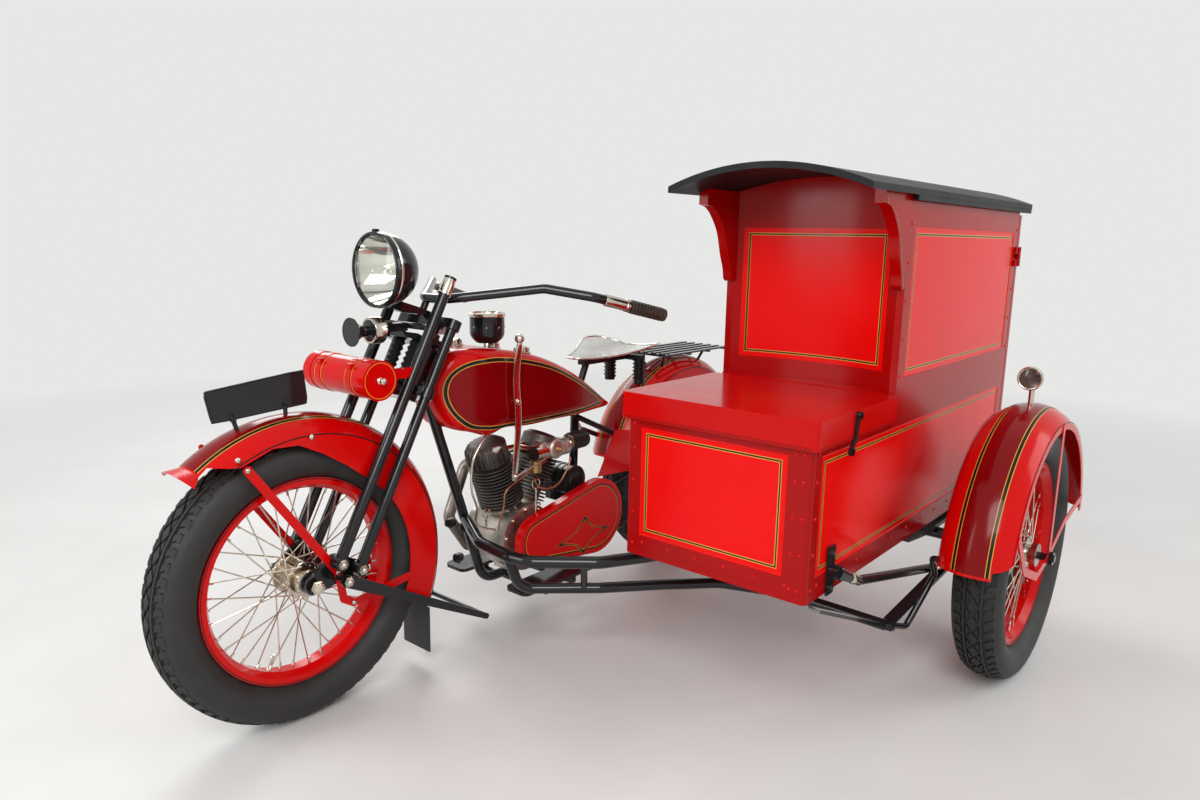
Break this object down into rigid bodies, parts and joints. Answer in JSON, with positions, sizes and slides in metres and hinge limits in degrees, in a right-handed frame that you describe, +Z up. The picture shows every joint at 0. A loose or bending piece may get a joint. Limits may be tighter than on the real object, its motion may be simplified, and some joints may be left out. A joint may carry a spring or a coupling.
{
  "type": "sidecar motorcycle",
  "caption": "Vintage V-twin motorcycle with a sprung front fork and a box-van sidecar; steers, rolls, and opens at a chest lid and a rear door.",
  "frame": {"origin": "on the ground, under the middle of the whole outfit's bounding box", "axes": "+X runs forward, +Y to the rider's left where the sidecar is, +Z up"},
  "size_m": [2.3109, 1.744, 1.3198],
  "materials": {
    "red_paint": "gloss",
    "black_paint": "gloss",
    "van_panel": "gloss",
    "roof_cover": "satin",
    "tyre_rubber": "matte",
    "nickel": "satin",
    "cast_aluminium": "satin",
    "cast_iron": "matte",
    "exhaust_steel": "satin",
    "saddle_steel": "satin",
    "lens_glass": "gloss",
    "flap_rubber": "matte",
    "spring_steel": "satin"
  },
  "bodies": {
    "chassis": {"frame": "black_paint", "engine_crankcase": "cast_aluminium", "front_cylinder": "cast_iron", "rear_cylinder": "cast_iron", "carburettor": "nickel", "generator": "black_paint", "gearbox": "cast_aluminium", "primary_guard": "red_paint", "drive_chain": "spring_steel", "chain_guard": "red_paint", "exhaust": "exhaust_steel", "fuel_tank": "red_paint", "gear_lever": "nickel", "saddle": "saddle_steel", "saddle_post": "spring_steel", "rear_mudguard": "red_paint", "luggage_rack": "black_paint", "footboards": "black_paint", "sidecar_frame": "black_paint", "body_springs": "spring_steel", "sidecar_axle": "black_paint", "sidecar_mudguard": "red_paint", "marker_lamp": "nickel", "van_floor": "van_panel", "chest_front": "van_panel", "van_left_side": "van_panel", "van_right_side": "van_panel", "cabinet_front": "van_panel", "chest_deck": "van_panel", "roof": "roof_cover", "roof_brackets": "van_panel"},
    "fork": {"rigid_fork": "black_paint", "spring_fork": "black_paint", "fork_rockers": "black_paint", "fork_springs": "spring_steel", "handlebar": "black_paint", "headlamp": "black_paint", "headlamp_lens": "lens_glass", "horn": "black_paint", "tool_canister": "red_paint", "number_plate": "black_paint", "front_mudguard": "red_paint", "mud_flap": "flap_rubber"},
    "front_wheel": {"front_tyre": "tyre_rubber", "front_rim": "red_paint", "front_hub": "nickel"},
    "rear_wheel": {"rear_tyre": "tyre_rubber", "rear_rim": "red_paint", "rear_hub": "nickel", "rear_sprocket": "spring_steel"},
    "sidecar_wheel": {"sidecar_tyre": "tyre_rubber", "sidecar_rim": "red_paint", "sidecar_hub": "nickel"},
    "front_stand": {"front_stand": "black_paint"},
    "rear_stand": {"rear_stand": "black_paint"},
    "chest_lid": {"chest_lid": "van_panel", "lid_hasp": "black_paint"},
    "rear_door": {"rear_door": "van_panel"}
  },
  "joints": [
    {"name": "steering", "type": "hinge", "parent": "chassis", "child": "fork", "pos_m": [0.69062, -0.455, 0.343], "axis": [-0.4695, 0, 0.8829], "range_deg": [-30, 30]},
    {"name": "front_wheel_spin", "type": "hinge", "parent": "fork", "child": "front_wheel", "pos_m": [0.818, -0.455, 0.343], "axis": [0, 1, 0], "continuous": true},
    {"name": "rear_wheel_spin", "type": "hinge", "parent": "chassis", "child": "rear_wheel", "pos_m": [-0.693, -0.455, 0.343], "axis": [0, 1, 0], "continuous": true},
    {"name": "sidecar_wheel_spin", "type": "hinge", "parent": "chassis", "child": "sidecar_wheel", "pos_m": [-0.565, 0.768, 0.343], "axis": [0, 1, 0], "continuous": true},
    {"name": "chest_lid_hinge", "type": "hinge", "parent": "chassis", "child": "chest_lid", "pos_m": [-0.17, 0.3155, 0.781], "axis": [0, -1, 0], "range_deg": [0, 70]},
    {"name": "rear_door_hinge", "type": "hinge", "parent": "chassis", "child": "rear_door", "pos_m": [-1.087, 0.566, 0.82], "axis": [0, 0, -1], "range_deg": [0, 110]},
    {"name": "front_stand_pivot", "type": "hinge", "parent": "fork", "child": "front_stand", "pos_m": [0.75893, -0.455, 0.34874], "axis": [0, -1, 0], "range_deg": [0, 90]},
    {"name": "rear_stand_pivot", "type": "hinge", "parent": "chassis", "child": "rear_stand", "pos_m": [-0.693, -0.455, 0.343], "axis": [0, -1, 0], "range_deg": [0, 115]}
  ]
}
